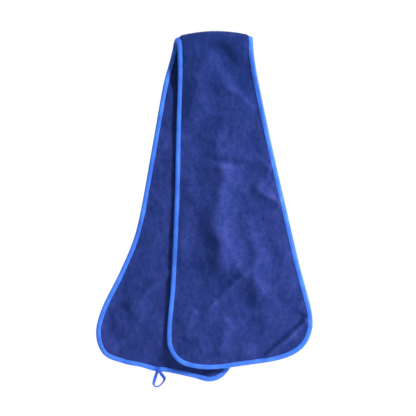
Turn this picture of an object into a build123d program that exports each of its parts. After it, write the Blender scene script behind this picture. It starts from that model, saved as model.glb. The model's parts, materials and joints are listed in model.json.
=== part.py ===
from build123d import *
from math import hypot
import os

# A golf towel, hung over a rail at its waist.
#
# The towel is one sheet of thick pile cloth, cut narrow in the middle and wide at both ends, with its raw edge
# wrapped in a folded tape that two threads sew down. It hangs as an inverted U: a fold over the rail, a front
# panel (-Y) and a rear panel (+Y). A short loop of tape is tacked to the rear panel's hem. Each panel swings
# about a straight line just under the fold, so the cloth, its binding and its seam are split there.
#
# The origin is on the rail's axis, half-way along the fold. X runs along the rail, Z is up, and sizes are in
# millimetres.

# Cloth, tape and thread
CLOTH = 2.4  # thickness of the pile cloth
TAPE = 0.7  # thickness of one layer of binding tape
BINDING = 8.0  # width of the finished binding, on each face
THREAD = 0.5  # width of a row of stitches
THREAD_RISE = 0.25  # how far the stitches stand off the tape
SEAM_INSET = 1.3  # from the binding's inner edge to the middle of its row of stitches

# The fold over the rail
FOLD_RADIUS = 9.0  # inside radius of the cloth, where its edges rest on the rail
CREST_HALF = 67.5  # half the towel's width at the crest
CREST_RISE = 7.5  # the middle of the crest stands this much higher than its two edges
CREST_RADIUS = (CREST_HALF**2 + CREST_RISE**2) / (2 * CREST_RISE)  # so the crest is this arc, seen from the front
LEG = 45.0  # the fold's straight sides, before they are cut off at the swing lines
PANEL_Y = FOLD_RADIUS + CLOTH / 2  # the middle of each panel's thickness

# The swing line of each panel runs along X through the middle of its thickness
SWING_Z = -15.0
SWING_ROOM = 3.3  # radius of the clear space that the fold leaves about each line

# Corners of the cut edge as it hangs, (x, z), before they are rounded, and a point half-way down each side
SIDE_TOP = 8.0  # above this the sides run straight up
FRONT_LEFT = ((-65.5, -248.0), (-90.0, -582.0))
FRONT_RIGHT = ((117.0, -248.0), (186.0, -550.0))
REAR_LEFT = ((-121.0, -262.0), (-231.0, -547.0))
REAR_RIGHT = ((52.0, -277.0), (42.0, -605.0))
CORNER = 60.0  # corner radius of the cut
TIGHT_CORNER = 48.0  # the rear panel's outer corner

# The hanging loop, set out from the middle of its root: along the hem, and square to the hem
LOOP_TAPE = 0.8  # thickness of the loop's tape
LOOP_WIDTH = 5.5
LOOP_X = -98.5
LOOP_DROP = 3.5  # from the hem down to the line that the loop swings about
LOOP_Y = FOLD_RADIUS - TAPE - LOOP_TAPE  # its two ends lie one on the other, on the binding's inner side
LOOP_CORNERS = ((0, 0), (-5.0, -21.5), (3.0, -27.5), (16.0, -14.0), (13.5, -3.0))
LOOP_BENDS = (0.5, 1.8, 5.5, 9.0, 4.5)  # the radius at each corner
LOOP_ROOT_WIDTH = 1.6  # the tape is pinched to this at the tack,
LOOP_FULL_BELOW = 7.0  # and it has opened to its full width this far down
LOOP_SWING_ROOM = 1.8  # from the swing line to the sewn ends
LOOP_ENDS_TOP = 9.5  # and to the top of the sewn ends
TACK_LONG = 5.0
TACK_HIGH = 1.6
TACK_RISE = 0.3

# The blocks that the panels are cut from
WIDE = 300.0
DEEP = 30.0
LOW = -660.0


def cut_shape(left, right, left_corner):
    """The cut of one panel seen from the front, carried straight up past the crest."""
    (left_side, left_low), (right_side, right_low) = left, right
    left_top, right_top = (-CREST_HALF, SIDE_TOP), (CREST_HALF, SIDE_TOP)
    left_end, right_end = (-CREST_HALF, LEG), (CREST_HALF, LEG)
    edges = [
        Line(left_end, left_top),
        ThreePointArc(left_top, left_side, left_low),
        Line(left_low, right_low),
        ThreePointArc(right_low, right_side, right_top),
        Line(right_top, right_end),
        Line(right_end, left_end),
    ]
    shape = make_face(edges)
    for (x, z), radius in ((left_low, left_corner), (right_low, CORNER)):
        corner = min(shape.vertices(), key=lambda v: hypot(v.X - x, v.Y - z))
        shape = fillet(corner, radius)
    return shape


def through(shape):
    """A shape seen from the front, pushed through both panels."""
    return extrude(Plane.XZ * shape, amount=DEEP, both=True)


def strip(cut, start, end):
    """The strip of a cut between two distances in from its edge."""
    outer = offset(cut, -start) if start else cut
    return outer - offset(cut, -end)


def fold_band(extra):
    """The inverted U over the rail, as thick as the cloth plus `extra` on each face."""
    inner, outer = FOLD_RADIUS - extra, FOLD_RADIUS + CLOTH + extra
    foot = CREST_RISE - LEG
    outline = [
        Line((-outer, foot), (-outer, CREST_RISE)),
        ThreePointArc((-outer, CREST_RISE), (0, CREST_RISE + outer), (outer, CREST_RISE)),
        Line((outer, CREST_RISE), (outer, foot)),
        Line((outer, foot), (inner, foot)),
        Line((inner, foot), (inner, CREST_RISE)),
        ThreePointArc((inner, CREST_RISE), (0, CREST_RISE + inner), (-inner, CREST_RISE)),
        Line((-inner, CREST_RISE), (-inner, foot)),
        Line((-inner, foot), (-outer, foot)),
    ]
    arch_axis = Axis((0, 0, CREST_RISE - CREST_RADIUS), (0, 1, 0))
    return revolve(Plane.YZ * make_face(outline), arch_axis, 360)


def panel_band(side, extra):
    """One panel's slab, with a round top edge about its swing line. `side` is -1 in front, +1 behind."""
    half = CLOTH / 2 + extra
    middle = side * PANEL_Y
    outline = [
        Line((middle - half, LOW), (middle - half, SWING_Z)),
        ThreePointArc((middle - half, SWING_Z), (middle, SWING_Z + half), (middle + half, SWING_Z)),
        Line((middle + half, SWING_Z), (middle + half, LOW)),
        Line((middle + half, LOW), (middle - half, LOW)),
    ]
    return extrude(Plane.YZ * make_face(outline), amount=WIDE, both=True)


def under_swing_line(side):
    """The space that one panel hangs in."""
    height = SWING_Z - LOW
    return Pos(0, side * DEEP / 2, SWING_Z - height / 2) * Box(2 * WIDE, DEEP, height)


def fold_side(side):
    """The space that holds one half of the fold, down to the panel's swing line."""
    half_space = Pos(0, side * DEEP / 2, SWING_Z + LEG) * Box(2 * WIDE, DEEP, 2 * LEG)
    swing_line = Pos(0, side * PANEL_Y, SWING_Z) * Rot(0, 90, 0) * Cylinder(SWING_ROOM, 2 * WIDE)
    return half_space - swing_line


def half_fold_band(side, extra):
    """One half of the fold's band."""
    return fold_band(extra) & fold_side(side)


def cloth(band_of, side, cut):
    """The sheet of pile cloth, which stops inside the binding's fold."""
    return band_of(side, 0) & through(offset(cut, -TAPE))


def binding(band_of, side, cut):
    """The folded tape: a channel round the cloth's raw edge."""
    return (band_of(side, TAPE) & through(strip(cut, 0, BINDING))) - cloth(band_of, side, cut)


def thread_rows(band_of, side, cut):
    """Both rows of the seam, which stand off the two faces of the binding."""
    middle = BINDING - SEAM_INSET
    row = through(strip(cut, middle - THREAD / 2, middle + THREAD / 2))
    return (band_of(side, TAPE + THREAD_RISE) - band_of(side, TAPE)) & row


def outer_and_inner(side, rows):
    """Splits a seam's rows into those on the towel's outer face and those on its inner face."""
    outer = [row for row in rows.solids() if side * row.center().Y > PANEL_Y]
    inner = [row for row in rows.solids() if side * row.center().Y < PANEL_Y]
    return outer, inner


def left_and_right(pieces):
    """Splits what lies on the fold's two edges."""
    left = [piece for piece in pieces if piece.center().X < 0]
    right = [piece for piece in pieces if piece.center().X > 0]
    return left, right


def write(name, solids):
    """Writes one sub-part."""
    shape = solids[0] if len(solids) == 1 else Compound(children=list(solids))
    export_step(shape, f"parts/{name}.step")


def make_panel(name, side, cut):
    """One hanging panel: its cloth, its binding and the two threads of its seam."""
    write(f"{name}_panel_cloth", cloth(panel_band, side, cut).solids())
    write(f"{name}_binding", binding(panel_band, side, cut).solids())
    rows = thread_rows(panel_band, side, cut) & under_swing_line(side)
    needle, bobbin = outer_and_inner(side, rows)
    write(f"{name}_needle_thread", needle)
    write(f"{name}_bobbin_thread", bobbin)


def make_fold(cuts):
    """The part of the towel that lies over the rail, its two halves joined at the crest."""
    whole = {}
    for piece_of in (cloth, binding, thread_rows):
        halves = [piece_of(half_fold_band, side, cut) for side, cut in cuts]
        whole[piece_of] = (halves[0] + halves[1]).solids()
    write("fold_cloth", whole[cloth])
    left, right = left_and_right(whole[binding])
    write("fold_binding_left", left)
    write("fold_binding_right", right)
    left, right = left_and_right(whole[thread_rows])
    write("fold_threads_left", left)
    write("fold_threads_right", right)


def make_loop():
    """The hanging loop, the two ends of its tape and the bar tack that holds them."""
    (left_x, left_z), (right_x, right_z) = REAR_LEFT[1], REAR_RIGHT[1]
    slope = (right_z - left_z) / (right_x - left_x)
    hem_z = left_z + slope * (LOOP_X - left_x)
    along_hem = (1, 0, slope)
    centre = (LOOP_X, LOOP_Y, hem_z - LOOP_DROP)
    root = Plane(centre, x_dir=along_hem, z_dir=(0, -1, 0))
    side_view = Plane(centre, x_dir=(0, 1, 0), z_dir=along_hem)

    middle_line = make_face(FilletPolyline(*LOOP_CORNERS, radius=LOOP_BENDS, close=True))
    ring = offset(middle_line, LOOP_TAPE / 2) - offset(middle_line, -LOOP_TAPE / 2)
    ring = extrude(root * ring, amount=LOOP_WIDTH, both=True)
    pinch = [
        (-LOOP_ROOT_WIDTH / 2, LOOP_TAPE),
        (LOOP_ROOT_WIDTH / 2, LOOP_TAPE),
        (LOOP_WIDTH / 2, -LOOP_FULL_BELOW),
        (LOOP_WIDTH / 2, -DEEP),
        (-LOOP_WIDTH / 2, -DEEP),
        (-LOOP_WIDTH / 2, -LOOP_FULL_BELOW),
    ]
    room = extrude(side_view * make_face(Polyline(*pinch, close=True)), amount=DEEP, both=True)
    write("hanging_loop", (ring & room).solids())

    high = LOOP_ENDS_TOP - LOOP_SWING_ROOM
    middle = LOOP_SWING_ROOM + high / 2
    tape_end = Box(LOOP_WIDTH, high, LOOP_TAPE)
    ends = [root * Pos(0, middle, layer * LOOP_TAPE / 2) * tape_end for layer in (-1, 1)]
    write("loop_tape_ends", ends)

    tack = Box(TACK_LONG, TACK_HIGH, TACK_RISE)
    near = root * Pos(0, middle, LOOP_TAPE + TACK_RISE / 2) * tack
    back_of_binding = LOOP_Y - (FOLD_RADIUS + CLOTH + TAPE)
    far = root * Pos(0, middle, back_of_binding - TACK_RISE / 2) * tack
    write("loop_bar_tack", [near, far])


os.makedirs("parts", exist_ok=True)
front_cut = cut_shape(FRONT_LEFT, FRONT_RIGHT, CORNER)
rear_cut = cut_shape(REAR_LEFT, REAR_RIGHT, TIGHT_CORNER)
make_fold([(-1, front_cut), (1, rear_cut)])
make_panel("front", -1, front_cut)
make_panel("rear", 1, rear_cut)
make_loop()
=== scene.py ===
"""A golf towel hung over a rail at its narrow waist: brushed microfibre, edged with folded tape.

The cloth, the tape and the seam are laid out flat first, on the cut of their panel, and then hung. A flat
point is (x, q) in millimetres: x runs along the rail, and q runs up the panel and on over the roll of the
fold, to ROLL at the crest. `hang` turns flat points into places in the frame, with a height above or below
the middle of the cloth. The loop and its bar tack are built in place.
"""

import json
import math

import bmesh
import bpy
import numpy as np
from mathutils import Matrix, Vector, noise


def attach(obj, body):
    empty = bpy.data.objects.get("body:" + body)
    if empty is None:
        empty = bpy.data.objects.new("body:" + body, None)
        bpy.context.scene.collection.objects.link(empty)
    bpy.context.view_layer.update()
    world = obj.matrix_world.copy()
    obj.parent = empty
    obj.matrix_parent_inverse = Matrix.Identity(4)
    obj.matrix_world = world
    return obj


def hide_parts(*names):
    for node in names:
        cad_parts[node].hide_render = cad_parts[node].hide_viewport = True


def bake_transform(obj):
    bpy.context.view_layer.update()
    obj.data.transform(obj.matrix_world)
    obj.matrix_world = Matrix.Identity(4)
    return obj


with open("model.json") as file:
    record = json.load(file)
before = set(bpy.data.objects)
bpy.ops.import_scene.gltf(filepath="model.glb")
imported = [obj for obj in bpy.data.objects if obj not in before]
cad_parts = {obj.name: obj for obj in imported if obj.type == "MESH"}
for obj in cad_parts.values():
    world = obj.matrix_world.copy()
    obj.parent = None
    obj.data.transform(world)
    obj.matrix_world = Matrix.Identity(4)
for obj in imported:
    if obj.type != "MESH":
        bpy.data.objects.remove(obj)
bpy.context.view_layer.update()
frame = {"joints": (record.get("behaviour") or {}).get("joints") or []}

MM = 0.001
FRONT, REAR = -1, 1  # the side of the rail that a panel hangs on, which is the sign of its Y

# ---------------------------------------------------------------------------------------------- sizes, in mm
CLOTH_HALF = 1.2  # half the thickness of the pile cloth
TAPE = 0.7  # thickness of the folded binding tape
SEAM_IN = 6.7  # the row of stitches, from the binding's outer edge
STITCH, STITCH_GAP = 2.3, 0.7  # length of one stitch, and the gap to the next
THREAD = 0.34  # radius of the sewing thread, drawn a little thick

joints = {j["name"]: j for j in frame["joints"]}
LOOP_AT = (joints["loop_swing"]["pos_m"][0] / MM, joints["loop_swing"]["pos_m"][2] / MM)
PANEL_Y = 10.2  # the middle of each panel, from the rail's axis
LEAN = 5.6  # below the rail the two halves lean this much towards each other
CREASE_SHADE_SHARE = 0.55  # painted highlight along a fold's crest and painted shade in its hollow, as a share of the painted light and shade on a slope
CLOSEST = 2.3  # the middle of each half stays this far from the plane between them
ROLL = 16.0  # length of cloth from the level of the rail's axis to the crest
EDGE_X = 67.5  # half the width at the crest

# The cut edge of each panel as it hangs, from the crest's left end, round the hem, to its right end
FRONT_EDGE = [
    (-67.5, 16), (-66.5, 4), (-63.4, -14), (-63.2, -70), (-66, -160), (-68.5, -277), (-75, -420), (-82, -508),
    (-77.5, -540), (-59, -562), (-28, -571), (5, -572), (55, -565.5), (112, -556.5), (148, -541), (168, -514),
    (170.5, -474), (149, -390), (123, -279), (99, -174), (79, -78), (70, -26), (68.2, 2), (67.5, 16),
]
REAR_EDGE = [
    (-67.5, 16), (-70.5, 4), (-74, -14), (-90, -82), (-112, -206), (-135, -326), (-163, -399), (-196, -466),
    (-206.5, -512), (-193, -548), (-158, -563.5), (-129, -569.5), (-104, -577), (-82, -578.8), (-38, -587.5),
    (-8, -594.5), (17, -585), (35, -556), (42, -508), (47, -400), (53, -277), (59, -140), (66, -20), (67, 2),
    (67.5, 16),
]
FRONT_CORNERS = ((-64, -557), (152, -538))  # where the hem takes over from the sides
REAR_CORNERS = ((-190, -550), (24, -577))


def ramp(value, low, high):
    """A smooth step from 0 at `low` to 1 at `high`."""
    t = np.clip((value - low) / (high - low), 0.0, 1.0)
    return t * t * (3 - 2 * t)


# ---------------------------------------------------------------------------------------------- how it hangs
# Soft folds: from (x, q), to (x, q), half-widths at both ends, heights there, and the lengths that they fade
# in and out over. Heights are outwards, towards whoever looks at that panel's outer face.
FRONT_FOLDS = [
    ((13, -214), (5, -400), (15, 22), (10.0, 15.0), (18, 60)),
    ((63, -318), (78, -448), (11, 14), (3.0, 9.6), (40, 44)),
    ((82, -6), (106, -132), (14, 14), (9.0, 8.0), (24, 30)),
    ((58, -401), (-14, -476), (6, 7), (6.0, 4.4), (24, 34)),
    ((-70, -70), (-78, -520), (15, 15), (-4.5, -4.0), (60, 40)),
    ((163, -487), (90, -553), (3.2, 3.5), (8.0, 5.6), (8, 20)),
    ((153, -478), (80, -544), (6.4, 6.6), (-7.6, -5.8), (14, 20)),
    ((173, -504), (106, -560), (5, 6), (-5.0, -4.0), (8, 14)),
    ((72, -254), (117, -284), (8, 7), (4.8, 5.6), (16, 8)),
    ((-14, -190), (101, -219), (13, 11), (4.2, 4.6), (40, 8)),
    ((4, 0), (84, -121), (17, 15), (-11.0, -8.0), (25, 25)),
    ((17, -71), (72, -119), (9, 9), (3.2, 3.2), (30, 14)),
    ((-35, -93), (-32, -150), (13, 13), (2.7, 2.7), (20, 30)),
    ((14, -123), (4, -175), (13, 13), (2.9, 2.9), (16, 16)),
    ((20, -484), (12, -545), (11, 12), (4.4, 3.7), (16, 16)),
    ((-33, -470), (-50, -516), (7, 8), (3.1, 2.5), (12, 14)),
    ((-44, -230), (-52, -420), (16, 18), (2.7, 3.7), (40, 50)),
    ((112, -330), (128, -440), (14, 16), (3.1, 3.1), (40, 40)),
]
REAR_FOLDS = [
    ((-79, -400), (-147, -469), (6, 7), (-4.5, -3.6), (10, 16)),
    ((-108, -482), (-106, -535), (8, 9), (-2.2, -2.0), (14, 20)),
    ((-112, -259), (-89, -289), (4, 4), (-1.3, -1.1), (6, 8)),
    ((-58, -100), (-62, -560), (26, 26), (-3.5, -3.5), (60, 40)),
    ((0, -60), (-24, -330), (16, 20), (3.4, 4.8), (40, 60)),
    ((30, -200), (12, -520), (14, 18), (-3.4, -3.6), (50, 50)),
    ((-150, -400), (-190, -520), (14, 16), (3.1, 3.4), (30, 30)),
    ((-30, -400), (-24, -590), (12, 16), (2.5, 4.2), (40, 20)),
]

CREST_TOP, CREST_TOP_X = 17.7, 3.5  # the highest point of the cloth's middle
CREST_ARCH = 0.00203  # how fast the crest falls away on both sides of that point
BOUND_DROP = 3.0  # the crest's bound edges lie this much lower still
BOUND_FROM, BOUND_TO = 56.5, 62.0  # over this stretch of half-width
TIGHTER_BY, TIGHTER_FROM = 2.0, 48.0  # the fold's radius shrinks this much, from here to the edge


def crest_height(x):
    """Height of the middle of the cloth at the crest, which stands proud between its two bound edges."""
    arch = CREST_TOP - CREST_ARCH * (x - CREST_TOP_X) ** 2
    return arch - BOUND_DROP * ramp(np.abs(x), BOUND_FROM, BOUND_TO)


def roll_radius(x):
    """The fold is tighter at its bound edges."""
    return PANEL_Y - TIGHTER_BY * ramp(np.abs(x), TIGHTER_FROM, EDGE_X)


FOLD_ROUNDING = 0.6  # how blunt a fold's crest is, as a share of its half-width
MEANDER = 0.24  # how far a fold wanders from its straight line, as a share of its half-width
SLOW_WANDER, QUICK_WANDER, QUICK_SHARE = 23, 9.5, 0.6  # in waves of these two lengths, in mm a radian


def fold_depth(x, q, folds):
    """The sum of a panel's soft folds, each with a rounded crest and flanks that ease into the cloth."""
    depth = np.zeros_like(x)
    for (x0, q0), (x1, q1), widths, heights, fades in folds:
        run = np.array([x1 - x0, q1 - q0], float)
        length = np.hypot(*run)
        run /= length
        along = (x - x0) * run[0] + (q - q0) * run[1]
        across = (x - x0) * run[1] - (q - q0) * run[0]
        share = np.clip(along / length, 0, 1)
        width = widths[0] + (widths[1] - widths[0]) * share
        wander = np.sin(along / SLOW_WANDER + x0) + QUICK_SHARE * np.sin(along / QUICK_WANDER + q0)
        across += MEANDER * width * wander
        height = heights[0] + (heights[1] - heights[0]) * share
        fade_in = ramp(along, -fades[0] / 2, fades[0] / 2)
        fade_out = 1 - ramp(along, length - fades[1] / 2, length + fades[1] / 2)
        profile = np.exp(FOLD_ROUNDING - np.sqrt((across / width) ** 2 + FOLD_ROUNDING**2))
        depth += height * (fade_in * fade_out) * profile
    return depth


def sway(x, q, seed, size, height):
    """Slow unevenness, from a noise that gives the same result each time."""
    places = np.stack([x / size, q / size, np.full_like(x, seed)], axis=-1).reshape(-1, 3)
    values = np.array([noise.noise(Vector(p)) for p in places])
    return height * values.reshape(x.shape)


TOP_REACH = 75.0  # the crest's arch has died away this far below the rail's axis
LEAN_FROM, LEAN_TO = 8.0, 110.0  # the halves lean together between these depths
SWAY_FULL, SWAY_NONE = -28.0, 2.0  # the unevenness dies away between these heights, towards the rail
FOLDS_FULL, FOLDS_NONE = -26.0, 0.0  # and so do the folds between these
LOOP_CALM, LOOP_AWAY = 12.0, 60.0  # about the loop: where the hem is held off, and where it is free again
HEM_AT_LOOP = PANEL_Y - 0.1  # how far the hem is held off there
SOFTNESS = 0.8  # how gently the cloth comes to rest against CLOSEST
# Unevenness of three sizes: (how much slower it changes down the cloth, seed, size in mm, height in mm)
SWAYS = [(0.7, 3.0, 64.0, 6.0), (0.8, 7.0, 26.0, 1.3), (1.0, 5.0, 10.0, 0.42)]


def hung_middle(side, x, q):
    """Places in mm of the middle of the cloth, for flat points."""
    radius = roll_radius(x)
    centre = crest_height(x) - radius
    angle = np.clip(q / ROLL, 0.0, 1.2) * math.pi / 2
    near_top = ramp(q, -TOP_REACH, 0.0)
    z = np.where(q > 0, centre + radius * np.sin(angle), q + centre * near_top)
    folds = FRONT_FOLDS if side == FRONT else REAR_FOLDS
    loose = 1 - ramp(q, SWAY_FULL, SWAY_NONE)
    depth = fold_depth(x, q, folds) * (1 - ramp(q, FOLDS_FULL, FOLDS_NONE))
    for squeeze, seed, size, height in SWAYS:
        depth += sway(x, q * squeeze, seed * side, size, height) * loose
    below = radius * near_top + PANEL_Y * (1 - near_top) - LEAN * ramp(-q, LEAN_FROM, LEAN_TO) + depth
    if side == REAR:
        # where the loop is sewn on, the hem stands off at the distance that its swing line was given
        from_loop = np.hypot(x - LOOP_AT[0], q - LOOP_AT[1])
        below += (HEM_AT_LOOP - below) * (1 - ramp(from_loop, LOOP_CALM, LOOP_AWAY))
    below = CLOSEST + SOFTNESS * np.logaddexp(0.0, (below - CLOSEST) / SOFTNESS)
    y = side * np.where(q > 0, radius * np.cos(angle), below)
    return np.stack([x, y, z], axis=-1)


def hang(side, x, q, height):
    """Places in metres of flat points that lie `height` mm off the middle of the cloth, outwards."""
    x, q, height = np.broadcast_arrays(*(np.asarray(v, float) for v in (x, q, height)))
    middle = hung_middle(side, x, q)
    reach = 0.6  # the cloth's direction is measured over this distance, both ways
    along = hung_middle(side, x + reach, q) - hung_middle(side, x - reach, q)
    up = hung_middle(side, x, q + reach) - hung_middle(side, x, q - reach)
    out = np.cross(along, up) * -side
    out /= np.linalg.norm(out, axis=-1, keepdims=True)
    return (middle + out * height[..., None]) * MM


# ---------------------------------------------------------------------------------------------- flat lines
def smooth_line(points, step):
    """A smooth line through given points (Catmull-Rom), with even spacing near `step`."""
    p = np.array([points[0], *points, points[-1]], float)
    p[0], p[-1] = 2 * p[1] - p[2], 2 * p[-2] - p[-3]
    t = np.linspace(0, 1, 40, endpoint=False)[:, None]
    parts = []
    for a, b, c, d in zip(p, p[1:], p[2:], p[3:]):
        parts.append(b + 0.5 * t * (c - a + t * (2 * a - 5 * b + 4 * c - d + t * (3 * (b - c) + d - a))))
    dense = np.concatenate([*parts, p[-2:-1]])
    return evenly(dense, max(2, round(length_of(dense) / step)))


def length_of(line):
    """Length of a line of points."""
    return float(np.linalg.norm(np.diff(line, axis=0), axis=1).sum())


def at_shares(line, shares):
    """Points at these shares of a line's length."""
    run = np.concatenate([[0], np.cumsum(np.linalg.norm(np.diff(line, axis=0), axis=1))])
    return np.stack([np.interp(shares * run[-1], run, line[:, k]) for k in (0, 1)], axis=-1)


def evenly(line, count):
    """The same line as `count` equal steps."""
    return at_shares(line, np.linspace(0, 1, count + 1))


def inwards(line):
    """Unit directions in the flat, pointing from the cut edge into the cloth."""
    run = np.gradient(line, axis=0)
    run /= np.linalg.norm(run, axis=1, keepdims=True)
    return np.stack([-run[:, 1], run[:, 0]], axis=-1)


# ---------------------------------------------------------------------------------------------- meshes
def make_piece(name, points, faces, flat, material, sharp=()):
    """A mesh object from places in metres. `flat` gives each corner its place on the flat cloth, as UVs."""
    mesh = bpy.data.meshes.new(name)
    mesh.from_pydata(np.asarray(points).reshape(-1, 3).tolist(), [], faces)
    uv = mesh.uv_layers.new(name="flat")
    corner = np.zeros(len(mesh.loops), np.int64)
    mesh.loops.foreach_get("vertex_index", corner)
    uv.data.foreach_set("uv", np.asarray(flat, float).reshape(-1, 2)[corner].ravel())
    mesh.validate()
    body = bmesh.new()
    body.from_mesh(mesh)
    bmesh.ops.recalc_face_normals(body, faces=body.faces)
    body.verts.ensure_lookup_table()
    sharp = set(sharp)
    for edge in body.edges:
        if edge.verts[0].index in sharp and edge.verts[1].index in sharp:
            edge.smooth = False
    body.to_mesh(mesh)
    body.free()
    mesh.polygons.foreach_set("use_smooth", [True] * len(mesh.polygons))
    piece = bpy.data.objects.new(name, mesh)
    bpy.context.scene.collection.objects.link(piece)
    piece.data.materials.append(material)
    return piece


def grid_faces(rows, columns, start=0, wrap=False):
    """Quads between neighbouring rows of a grid. `wrap` joins the last column to the first."""
    r, c = np.meshgrid(np.arange(rows - 1), np.arange(columns if wrap else columns - 1), indexing="ij")
    r, c = r.ravel(), c.ravel()
    after = (c + 1) % columns
    quads = np.stack([r * columns + c, r * columns + after, (r + 1) * columns + after, (r + 1) * columns + c])
    return (quads.T + start).tolist()


FINE_DOWN, FINE_STEP, STEP = 26, 1.1, 2.5  # rows lie closer together over the bend at the rail
COLUMNS = 84


def flat_grid(edge, corners):
    """A grid of flat points over one panel: the crest is its first row, and the hem its last."""
    low_left, low_right = (int(np.argmin(np.hypot(*(edge - c).T))) for c in corners)
    left, hem, right = edge[: low_left + 1], edge[low_left : low_right + 1], edge[low_right:][::-1]
    span = (length_of(left) + length_of(right)) / 2
    fine = np.arange(0, FINE_DOWN, FINE_STEP)
    down = np.concatenate([fine, np.linspace(FINE_DOWN, span, round((span - FINE_DOWN) / STEP))]) / span
    left, right = at_shares(left, down), at_shares(right, down)
    across = np.linspace(0, 1, COLUMNS)
    hem, crest = at_shares(hem, across), left[0] + across[:, None] * (right[0] - left[0])
    u, v = across[None, :, None], down[:, None, None]
    sides = (1 - u) * left[:, None] + u * right[:, None]
    ends = (1 - v) * crest[None] + v * hem[None]
    corner_mix = (1 - v) * ((1 - u) * crest[0] + u * crest[-1]) + v * ((1 - u) * hem[0] + u * hem[-1])
    return sides + ends - corner_mix


CLOTH_INSET = 0.9  # the cloth's rim lies this far inside the binding's fold
TUFT, TUFT_HEIGHT = 3.1, 0.16  # size and height in mm of the lumps in the pile
SLOPE_SHADE_MOST, CREASE_SHADE_MOST = 0.5, 0.7  # the most that the painted light and shade of a slope, and of a crest or hollow, can change the pile's tone


def make_cloth(name, side, edge, corners, material):
    """One half of the towel's single cloth: two faces of pile, closed round the edge inside the binding."""
    inset = edge + inwards(edge) * CLOTH_INSET
    inset[0], inset[-1] = (inset[0][0], ROLL), (inset[-1][0], ROLL)
    grid = flat_grid(inset, corners)
    rows, columns = grid.shape[:2]
    count = rows * columns
    x, q = grid[..., 0], grid[..., 1]
    pile = sway(x, q, 11.0 + side, TUFT, TUFT_HEIGHT)
    points = np.concatenate([
        hang(side, x, q, CLOTH_HALF + pile).reshape(-1, 3),
        hang(side, x, q, -CLOTH_HALF - pile).reshape(-1, 3),
    ])
    index = np.arange(count).reshape(rows, columns)
    rim = np.concatenate([index[:, 0], index[-1, 1:], index[::-1, -1][1:], index[0, ::-1][1:-1]])
    after = np.roll(rim, -1)
    faces = grid_faces(rows, columns) + grid_faces(rows, columns, start=count)
    faces += np.stack([rim, after, after + count, rim + count]).T.tolist()
    flat = np.tile(np.stack([x, q], axis=-1).reshape(-1, 2), (2, 1)) * MM
    flat[:, 0] += side  # a metre either way, so the two halves wear different stretches of the same pattern
    crest = np.concatenate([index[0], index[0] + count])
    cloth = make_piece(name, points, faces, flat, material, sharp=crest.tolist())
    # Painted light and shade on the pile: paler along the crest of a fold and darker in its hollow, paler on
    # slopes turned right and up towards the key lamp, darker on those turned away
    here, left, right, low, high = (
        hung_middle(side, x + dx, q + dq)[..., 1] for dx, dq in ((0, 0), (-2, 0), (2, 0), (0, -2), (0, 2))
    )
    slope = (0.8 * (right - left) + 0.4 * (high - low)) / 4
    slope_shade = np.clip(slope, -SLOPE_SHADE_MOST, SLOPE_SHADE_MOST) * (q < -8)
    crease_shade = np.clip(side * (4 * here - left - right - low - high), -CREASE_SHADE_MOST, CREASE_SHADE_MOST) * (q < -12)
    painted_shade = np.concatenate([(slope_shade + CREASE_SHADE_SHARE * crease_shade).ravel(), (slope_shade - CREASE_SHADE_SHARE * crease_shade).ravel()])
    cloth.data.attributes.new("painted_fold_shade", "FLOAT", "POINT").data.foreach_set("value", painted_shade)
    return cloth


# The binding's section: (distance in from the cut edge, height off the middle of the cloth)
OUTSIDE_SECTION = [
    (7.85, 1.05), (7.9, 1.45), (7.6, 1.72), (7.1, 1.74), (6.7, 1.56), (6.25, 1.78), (5.2, 2.06), (3.2, 2.12),
    (1.5, 1.9), (0.4, 1.3), (-0.05, 0.62),
]
INSIDE_SECTION = [(0.8, 0.0), (1.1, 0.8), (2.2, 1.22), (5.0, 1.26)]
PUCKER = 0.06  # each stitch draws the tape's inner edge down by this share of its height


def tape_section(lift=0.0):
    """The closed outline of the folded tape, cut across."""
    upper = [(d - lift * 0.3, h + lift) for d, h in OUTSIDE_SECTION]
    lower = [(d, -h) for d, h in upper[::-1]]
    inner = [(d, -h) for d, h in INSIDE_SECTION[::-1]] + INSIDE_SECTION[1:]
    return np.array(upper + [(-0.2 - lift * 0.3, 0.0)] + lower + inner)


def make_tape(name, side, edge, material, lift=0.0):
    """The folded binding tape along a stretch of the cut edge."""
    section = tape_section(lift)
    into = inwards(edge)
    run = np.concatenate([[0], np.cumsum(np.linalg.norm(np.diff(edge, axis=0), axis=1))])
    pucker = PUCKER * np.sin(run / (STITCH + STITCH_GAP) * 2 * math.pi)[:, None]
    base_x = edge[:, None, 0] + into[:, None, 0] * section[None, :, 0]
    base_q = edge[:, None, 1] + into[:, None, 1] * section[None, :, 0]
    inner_edge = ramp(section[:, 0], 4.5, 8.0)[None]
    height = section[None, :, 1] * (1 + pucker * inner_edge)
    points = hang(side, base_x, base_q, height)
    rows, columns = points.shape[:2]
    faces = grid_faces(rows, columns, wrap=True)
    caps = [list(range(columns)), list(range((rows - 1) * columns, rows * columns))]
    around = np.concatenate([[0], np.cumsum(np.linalg.norm(np.diff(section, axis=0), axis=1))])
    flat = np.stack(np.broadcast_arrays(run[:, None], around[None]), axis=-1) * MM
    return make_piece(name, points, faces + caps, flat, material, sharp=sum(caps, []))


SIDES, RINGS = 6, np.linspace(-1, 1, 7)  # a stitch has this many sides, and these rings along its length
TURN = np.arange(SIDES) * 2 * math.pi / SIDES
THINNEST = 0.06  # the square of how thin a stitch's two ends are, beside its middle
DIVE, PROUD = 0.34, 0.10  # a stitch's ends dive into the tape, and its middle stands proud


def stitch_faces():
    """The faces of one stitch, and how many points it has."""
    points = len(RINGS) * SIDES
    caps = [list(range(SIDES)), list(range(points - SIDES, points))]
    return grid_faces(len(RINGS), SIDES, wrap=True) + caps, points


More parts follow.
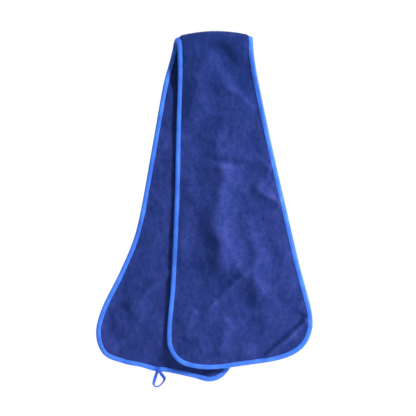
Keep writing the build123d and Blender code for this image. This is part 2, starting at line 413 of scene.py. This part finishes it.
def make_stitches(name, side, edge, heights, material):
    """A row of separate stitches along the binding, on the face or faces at `heights`."""
    pitch = STITCH + STITCH_GAP
    line = edge + inwards(edge) * SEAM_IN
    length = length_of(line)
    count = int(length / pitch)
    points, flat = [], []
    for height in heights:
        middle = (np.arange(count) + 0.5) / count
        along = middle[:, None] + RINGS[None] * STITCH / 2 / length
        spot = at_shares(line, along.ravel()).reshape(count, len(RINGS), 2)
        ahead = at_shares(line, along.ravel() + 0.0005).reshape(spot.shape)
        run = ahead - at_shares(line, along.ravel() - 0.0005).reshape(spot.shape)
        run /= np.linalg.norm(run, axis=-1, keepdims=True)
        thick = THREAD * np.sqrt(np.clip(1 - RINGS**4, THINNEST, 1))[None, :, None]
        across = thick * np.cos(TURN)
        above = thick * np.sin(TURN) - DIVE * (RINGS**4)[None, :, None] + PROUD
        x = spot[..., 0:1] - run[..., 1:2] * across
        q = spot[..., 1:2] + run[..., 0:1] * across
        points.append(hang(side, x, q, height + np.sign(height) * above))
        flat.append(np.stack(np.broadcast_arrays(along[..., None] * length, across), axis=-1) * MM)
    points, flat = np.concatenate(points), np.concatenate(flat)
    one, block = stitch_faces()
    faces = [[v + k * block for v in face] for k in range(len(points)) for face in one]
    return make_piece(name, points, faces, flat, material)


# ---------------------------------------------------------------------------------------------- materials
def linear(code):
    """An sRGB hex colour as linear RGBA."""
    parts = [int(code[k : k + 2], 16) / 255 for k in (0, 2, 4)]
    return (*(p / 12.92 if p <= 0.04045 else ((p + 0.055) / 1.055) ** 2.4 for p in parts), 1.0)


def add(tree, kind, inputs=None, **settings):
    """Adds a node with its settings, and sets or links its inputs."""
    node = tree.nodes.new(kind)
    for key, value in settings.items():
        setattr(node, key, value)
    for key, value in (inputs or {}).items():
        if isinstance(value, bpy.types.NodeSocket):
            tree.links.new(value, node.inputs[key])
        else:
            node.inputs[key].default_value = value
    return node


def new_material(name):
    """An empty material and its node tree."""
    material = bpy.data.materials.new(name)
    material.use_nodes = True
    material.node_tree.nodes.clear()
    return material, material.node_tree


def finish_material(tree, shader):
    """Puts the shader on the material's surface."""
    add(tree, "ShaderNodeOutputMaterial", {"Surface": shader.outputs[0]})


def per_metre(size_mm):
    """The noise scale whose features are about this size."""
    return 1.0 / (size_mm * MM)


def brushed_microfibre():
    """Split-fibre polyester fleece, brushed after dyeing. The nap lies this way and that, so the navy is
    clouded with paler streaks, and the fibre ends catch the light where the cloth turns away. Its tone also
    carries painted light and shade from the folds of the cloth."""
    material, tree = new_material("brushed_navy_microfibre")
    flat = add(tree, "ShaderNodeUVMap", uv_map="flat").outputs["UV"]
    streaks = add(tree, "ShaderNodeMapping", {"Vector": flat, "Scale": (1.0, 0.6, 1.0)}).outputs[0]
    clouds = add(tree, "ShaderNodeTexNoise",
                 {"Vector": streaks, "Scale": per_metre(24), "Detail": 3.0, "Roughness": 0.6,
                  "Distortion": 0.4})
    strokes = add(tree, "ShaderNodeTexNoise",
                  {"Vector": streaks, "Scale": per_metre(8), "Detail": 3.0, "Roughness": 0.65})
    tufts = add(tree, "ShaderNodeTexNoise",
                {"Vector": flat, "Scale": per_metre(2.6), "Detail": 3.0, "Roughness": 0.7})
    grain = add(tree, "ShaderNodeTexNoise",  # fibre ends, really under 0.1 mm, drawn coarse enough to show
                {"Vector": flat, "Scale": per_metre(0.9), "Detail": 2.0, "Roughness": 0.6})
    nap_tone_and_shade = add(tree, "ShaderNodeMath", {0: clouds.outputs[0], 1: strokes.outputs[0]}, operation="ADD")
    nap_tone_and_shade = add(tree, "ShaderNodeMath", {0: nap_tone_and_shade.outputs[0], 1: 0.75, 2: tufts.outputs[0]},
               operation="MULTIPLY_ADD")
    up = add(tree, "ShaderNodeSeparateXYZ", {0: flat}).outputs["Y"]
    waist = add(tree, "ShaderNodeMapRange",  # the pile's tone is made darker towards the waist
                {"Value": up, "From Min": -0.2, "From Max": -0.02, "To Min": 0.0, "To Max": 0.22}).outputs[0]
    nap_tone_and_shade = add(tree, "ShaderNodeMath", {0: nap_tone_and_shade.outputs[0], 1: waist}, operation="SUBTRACT")
    # painted light and shade of the folds, read from the cloth's attribute, is added to the pile's tone here
    painted_shade = add(tree, "ShaderNodeAttribute", attribute_name="painted_fold_shade").outputs["Fac"]
    nap_tone_and_shade = add(tree, "ShaderNodeMath", {0: painted_shade, 1: 0.5, 2: nap_tone_and_shade.outputs[0]}, operation="MULTIPLY_ADD")
    tone = add(tree, "ShaderNodeMapRange",
               {"Value": nap_tone_and_shade.outputs[0], "From Min": 0.95, "From Max": 1.72, "To Min": 0.0, "To Max": 1.0})
    colour = add(tree, "ShaderNodeValToRGB", {"Fac": tone.outputs[0]})
    stops = colour.color_ramp.elements
    stops[0].position, stops[0].color = 0.0, linear("0b2053")
    stops[1].position, stops[1].color = 1.0, linear("303a79")
    middle = stops.new(0.5)
    middle.color = linear("1d2c66")
    fuzz = add(tree, "ShaderNodeMath", {0: tufts.outputs[0], 1: grain.outputs[0]}, operation="ADD")
    bump = add(tree, "ShaderNodeBump", {"Height": fuzz.outputs[0], "Strength": 0.6, "Distance": 0.7 * MM})
    shader = add(tree, "ShaderNodeBsdfPrincipled", {
        "Base Color": colour.outputs[0], "Roughness": 0.92, "Specular IOR Level": 0.1,
        "Sheen Weight": 0.2, "Sheen Roughness": 0.45, "Sheen Tint": linear("7f8ff0"),
        "Normal": bump.outputs[0],
    })
    finish_material(tree, shader)
    return material


def woven_tape(name, dark, pale, rib_mm):
    """Plain-woven polyester tape, dyed royal blue. Fine ribs run across it, and it has a slight sheen."""
    material, tree = new_material(name)
    flat = add(tree, "ShaderNodeUVMap", uv_map="flat").outputs["UV"]
    ribs = add(tree, "ShaderNodeTexWave",
               {"Vector": flat, "Scale": per_metre(rib_mm) / 10, "Distortion": 0.6, "Detail": 1.0,
                "Detail Scale": 2.0}, wave_type="BANDS", bands_direction="X")
    threads = add(tree, "ShaderNodeTexNoise",
                  {"Vector": flat, "Scale": per_metre(1.3), "Detail": 2.0, "Roughness": 0.6})
    dye = add(tree, "ShaderNodeTexNoise",
              {"Vector": flat, "Scale": per_metre(26), "Detail": 2.0, "Roughness": 0.5})
    mixed = add(tree, "ShaderNodeMath", {0: threads.outputs[0], 1: 0.6, 2: dye.outputs[0]},
                operation="MULTIPLY_ADD")
    tone = add(tree, "ShaderNodeMapRange", {"Value": mixed.outputs[0], "From Min": 0.55, "From Max": 1.1})
    colour = add(tree, "ShaderNodeValToRGB", {"Fac": tone.outputs[0]})
    stops = colour.color_ramp.elements
    stops[0].color, stops[1].color = linear(dark), linear(pale)
    height = add(tree, "ShaderNodeMath", {0: ribs.outputs[1], 1: threads.outputs[0]}, operation="ADD")
    bump = add(tree, "ShaderNodeBump", {"Height": height.outputs[0], "Strength": 0.4, "Distance": 0.15 * MM})
    shader = add(tree, "ShaderNodeBsdfPrincipled", {
        "Base Color": colour.outputs[0], "Roughness": 0.62, "Specular IOR Level": 0.35,
        "Sheen Weight": 0.12, "Sheen Roughness": 0.4, "Sheen Tint": linear("9fc0ff"),
        "Normal": bump.outputs[0],
    })
    finish_material(tree, shader)
    return material


def spun_thread(name, dark, pale):
    """Spun polyester sewing thread: a soft twist, a little glossier than the tape it lies on."""
    material, tree = new_material(name)
    flat = add(tree, "ShaderNodeUVMap", uv_map="flat").outputs["UV"]
    twist = add(tree, "ShaderNodeTexWave", {"Vector": flat, "Scale": per_metre(0.5) / 10, "Distortion": 0.5},
                wave_type="BANDS", bands_direction="DIAGONAL")
    colour = add(tree, "ShaderNodeValToRGB", {"Fac": twist.outputs[1]})
    stops = colour.color_ramp.elements
    stops[0].color, stops[1].color = linear(dark), linear(pale)
    bump = add(tree, "ShaderNodeBump", {"Height": twist.outputs[1], "Strength": 0.5, "Distance": 0.08 * MM})
    shader = add(tree, "ShaderNodeBsdfPrincipled", {
        "Base Color": colour.outputs[0], "Roughness": 0.5, "Specular IOR Level": 0.4,
        "Normal": bump.outputs[0],
    })
    finish_material(tree, shader)
    return material


pile_cloth = brushed_microfibre()
binding_tape = woven_tape("royal_blue_binding_tape", "1d50b2", "2e6cd0", rib_mm=1.1)
# the loop tape's colours are darker than the binding tape's: painted shade for the loop
loop_tape = woven_tape("shaded_royal_blue_loop_tape", "0a369c", "1850b8", rib_mm=0.9)
seam_thread = spun_thread("royal_blue_seam_thread", "1c4cae", "3470d0")
tack_thread = spun_thread("royal_blue_tack_thread", "1246b0", "2868d8")

# ---------------------------------------------------------------------------------------------- the towel
EDGE_STEP = 1.5
front_edge = smooth_line(FRONT_EDGE, EDGE_STEP)
rear_edge = smooth_line(REAR_EDGE, EDGE_STEP)

SUNK = 0.22  # the stitches pull the tape down into the pile
FACES = (CLOTH_HALF + TAPE - SUNK, -CLOTH_HALF - TAPE + SUNK)
front_cloth = make_cloth("front_half_cloth", FRONT, front_edge, FRONT_CORNERS, pile_cloth)
rear_cloth = make_cloth("rear_half_cloth", REAR, rear_edge, REAR_CORNERS, pile_cloth)
front_tape = make_tape("front_edge_tape", FRONT, front_edge, binding_tape)
rear_tape = make_tape("rear_edge_tape", REAR, rear_edge, binding_tape)
front_needle = make_stitches("front_needle_stitches", FRONT, front_edge, FACES[:1], seam_thread)
front_bobbin = make_stitches("front_bobbin_stitches", FRONT, front_edge, FACES[1:], seam_thread)
rear_needle = make_stitches("rear_needle_stitches", REAR, rear_edge, FACES[:1], seam_thread)
rear_bobbin = make_stitches("rear_bobbin_stitches", REAR, rear_edge, FACES[1:], seam_thread)

# The tape's two ends overlap on the front panel's right side
JOIN_AT, JOIN_LONG, JOIN_LIFT = (92.8, -150.0), 15.0, 0.45
nearest = int(np.argmin(np.hypot(*(front_edge - JOIN_AT).T)))
half = round(JOIN_LONG / 2 / EDGE_STEP)
join_edge = front_edge[nearest - half : nearest + half + 1]
tape_join = make_tape("tape_overlap", FRONT, join_edge, binding_tape, lift=JOIN_LIFT)

# ---------------------------------------------------------------------------------------------- the loop
ROOT = np.array(joints["loop_swing"]["pos_m"]) / MM
HEM = np.array(joints["loop_swing"]["axis"])
UP = np.array([-HEM[2], 0.0, HEM[0]])
NEAR = np.array([0.0, -1.0, 0.0])

LOOP_WIDE, LOOP_THICK, LOOP_ROWS = 5.5, 0.8, 150
# (along the hem, up from the swing line, towards the front panel, turn of the tape in degrees)
LOOP_PATH = [
    (-1.0, 9.3, 0.0, 0), (-1.0, 5.0, 0.0, 0), (-1.2, 1.0, 0.2, 0), (-1.8, -4.5, 0.3, 0),
    (-2.5, -11.0, 0.3, 12), (-3.0, -17.0, 0.0, 28), (-3.1, -21.6, -0.3, 50), (-0.8, -24.8, -0.5, 72),
    (3.4, -25.6, -0.6, 76), (7.8, -22.8, -0.5, 74), (11.3, -17.8, -0.2, 70), (13.5, -12.6, 0.1, 62),
    (13.6, -8.6, 0.5, 26), (10.8, -5.4, 1.2, 4), (7.4, -2.6, 1.6, 0), (4.4, 0.4, 1.4, 0),
    (1.8, 3.6, 1.1, 0), (-1.0, 7.4, 0.95, 0),
]


def curve_through(rows, count):
    """A smooth run through rows of numbers, which may be places and turns together."""
    p = np.array(rows, float)
    p = np.concatenate([[2 * p[0] - p[1]], p, [2 * p[-1] - p[-2]]])
    made = []
    for s in np.linspace(0, len(rows) - 1, count):
        k = min(int(s), len(rows) - 2)
        t = s - k
        a, b, c, d = p[k : k + 4]
        made.append(b + 0.5 * t * (c - a + t * (2 * a - 5 * b + 4 * c - d + t * (3 * (b - c) + d - a))))
    return np.array(made)


def make_loop(material):
    """One length of tape: sewn to the hem, down, round with a twist, and back up over its first end."""
    run = curve_through(LOOP_PATH, LOOP_ROWS)
    centre = ROOT + run[:, 0:1] * HEM + run[:, 1:2] * UP + run[:, 2:3] * NEAR
    ahead = np.gradient(centre, axis=0)
    ahead /= np.linalg.norm(ahead, axis=1, keepdims=True)
    flat_across = np.cross(ahead, NEAR)
    flat_across /= np.linalg.norm(flat_across, axis=1, keepdims=True)
    normal = np.cross(flat_across, ahead)
    turn = np.radians(run[:, 3:4])
    across = flat_across * np.cos(turn) + normal * np.sin(turn)
    face = np.cross(across, ahead)
    w, t = LOOP_WIDE / 2, LOOP_THICK / 2
    section = [(-w, 0), (-w + 0.15, t * 0.8), (-w + 0.6, t), (-1, t * 0.94), (1, t * 0.94), (w - 0.6, t),
               (w - 0.15, t * 0.8), (w, 0)]
    section += [(a, -b) for a, b in section[-2:0:-1]]
    section = np.array(section)
    points = centre[:, None] + section[None, :, 0:1] * across[:, None] + section[None, :, 1:2] * face[:, None]
    rows, columns = points.shape[:2]
    faces = grid_faces(rows, columns, wrap=True)
    caps = [list(range(columns)), list(range((rows - 1) * columns, rows * columns))]
    length = np.concatenate([[0], np.cumsum(np.linalg.norm(np.diff(centre, axis=0), axis=1))])
    flat = np.stack(np.broadcast_arrays(length[:, None], section[None, :, 0]), axis=-1) * MM
    return make_piece("hanging_loop_tape", points * MM, faces + caps, flat, material, sharp=sum(caps, []))


TACK_ROWS = (2.6, 6.2)  # heights of the two rows above the swing line
TACK_THROWS = 11  # stitches in a row
TACK_FROM, TACK_LONG = -4.2, 9.4  # where a row starts along the hem, and how far it goes
TACK_THREAD, TACK_REACH, TACK_LEAN = 0.3, 1.5, 0.3  # a throw's radius, half its height, and its slant
TACK_NEAR = 1.65  # from the swing line to the stitches on the inner face, over both ends of the loop
TACK_FAR = 2 * (CLOTH_HALF + TAPE) + 0.85  # and to those on the binding's other face


def make_bar_tack(material):
    """Close zigzag stitches through both ends of the loop and the binding, seen on both faces."""
    points, flat, faces = [], [], []
    one, block = stitch_faces()
    rows = [(level, depth, row) for level, depth in ((1, TACK_NEAR), (-1, -TACK_FAR)) for row in TACK_ROWS]
    for level, depth, row in rows:
        for k in range(TACK_THROWS):
            lean = TACK_LEAN if k % 2 else -TACK_LEAN
            uneven = noise.noise(Vector((k * 1.7, level * 5.0, row)))
            middle = TACK_FROM + TACK_LONG * k / (TACK_THROWS - 1) + uneven * 0.3
            for r in RINGS:
                thick = TACK_THREAD * math.sqrt(max(THINNEST, 1 - r**4))
                along = middle + lean * r
                up = row + uneven * 0.9 + r * TACK_REACH
                sink = depth - level * TACK_THREAD * r**4
                for angle in TURN:
                    spot = ROOT + (along + thick * math.cos(angle)) * HEM + up * UP
                    spot = spot + (sink + thick * math.sin(angle)) * NEAR
                    points.append(spot * MM)
                    flat.append((up * MM, along * MM))
            faces += [[v + len(points) - block for v in face] for face in one]
    return make_piece("loop_bar_tack_stitches", np.array(points), faces, np.array(flat), material)


loop = make_loop(loop_tape)
bar_tack = make_bar_tack(tack_thread)

# ---------------------------------------------------------------------------------------------- what moves
PANELS = {
    "front_panel": (joints["front_panel_swing"], [front_cloth, front_tape, front_needle, front_bobbin]),
    "rear_panel": (joints["rear_panel_swing"], [rear_cloth, rear_tape, rear_needle, rear_bobbin]),
}
for body, (joint, group) in PANELS.items():
    for piece in group:
        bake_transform(piece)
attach(tape_join, "front_panel")
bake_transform(loop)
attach(bar_tack, "rear_panel")

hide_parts("front_panel_cloth", "fold_cloth")
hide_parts("rear_panel_cloth", "fold_cloth")
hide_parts("front_binding", "fold_binding_left", "fold_binding_right")
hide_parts("rear_binding", "fold_binding_left", "fold_binding_right")
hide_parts("front_needle_thread", "fold_threads_left", "fold_threads_right")
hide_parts("front_bobbin_thread", "fold_threads_left", "fold_threads_right")
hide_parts("rear_needle_thread", "fold_threads_left", "fold_threads_right")
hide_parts("rear_bobbin_thread", "fold_threads_left", "fold_threads_right")
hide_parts("hanging_loop", "loop_tape_ends")
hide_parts("loop_bar_tack")


# ---------------------------------------------------------------------------------------------- the studio
VIEW_ACROSS = 0.728  # width of what the camera sees at the towel
LENS, SENSOR = 135.0, 36.0
DISTANCE = VIEW_ACROSS * LENS / SENSOR
AIM_X, AIM_Z = -0.0105, -0.2908  # the camera looks level at this point of the towel
camera_data = bpy.data.cameras.new("camera")
camera_data.lens, camera_data.sensor_width = LENS, SENSOR
camera_data.clip_end = 100.0
camera = bpy.data.objects.new("camera", camera_data)
camera.location = (AIM_X, -DISTANCE, AIM_Z)
camera.rotation_euler = (math.radians(90), 0, 0)
bpy.context.scene.collection.objects.link(camera)
bpy.context.scene.camera = camera


def soft_box(name, place, target, size, power, colour=(1.0, 1.0, 1.0)):
    """A square studio light."""
    data = bpy.data.lights.new(name, "AREA")
    data.shape, data.size, data.energy, data.color = "SQUARE", size, power, colour
    light = bpy.data.objects.new(name, data)
    light.location = place
    light.rotation_euler = (Vector(target) - Vector(place)).to_track_quat("-Z", "Y").to_euler()
    bpy.context.scene.collection.objects.link(light)


middle_of_towel = (0.0, 0.0, -0.3)
soft_box("key", (1.75, -1.4, 1.0), middle_of_towel, size=0.5, power=172.0, colour=(1.0, 0.92, 0.94))
soft_box("back", (-1.4, 1.9, 0.9), middle_of_towel, size=1.2, power=30.0)

FLOOR_Z, FLOOR_RADIUS = -0.95, 1.6
bpy.ops.mesh.primitive_circle_add(
    vertices=96, radius=FLOOR_RADIUS, fill_type="NGON", location=(0, 0, FLOOR_Z))
floor = bpy.context.active_object
floor.name = "studio_floor"
floor_paint, floor_tree = new_material("matt_white_floor")
finish_material(floor_tree, add(floor_tree, "ShaderNodeBsdfPrincipled",
                                {"Base Color": (0.9, 0.9, 0.9, 1.0), "Roughness": 0.9}))
floor.data.materials.append(floor_paint)

# A white room, dimmer on the side that the front panel faces, so that the lamp models its folds
world = bpy.data.worlds.new("white_room")
bpy.context.scene.world = world
world.use_nodes = True
room = world.node_tree
way = add(room, "ShaderNodeTexCoord").outputs["Generated"]
way = add(room, "ShaderNodeSeparateXYZ", {0: way}).outputs["Y"]
lit = add(room, "ShaderNodeMapRange",
          {"Value": way, "From Min": -0.55, "From Max": -0.15, "To Min": 0.2, "To Max": 1.0},
          interpolation_type="SMOOTHSTEP").outputs[0]
room.links.new(lit, room.nodes["Background"].inputs["Strength"])
room.nodes["Background"].inputs["Color"].default_value = (1.0, 1.0, 1.0, 1.0)
bpy.context.scene.view_settings.view_transform = "Standard"
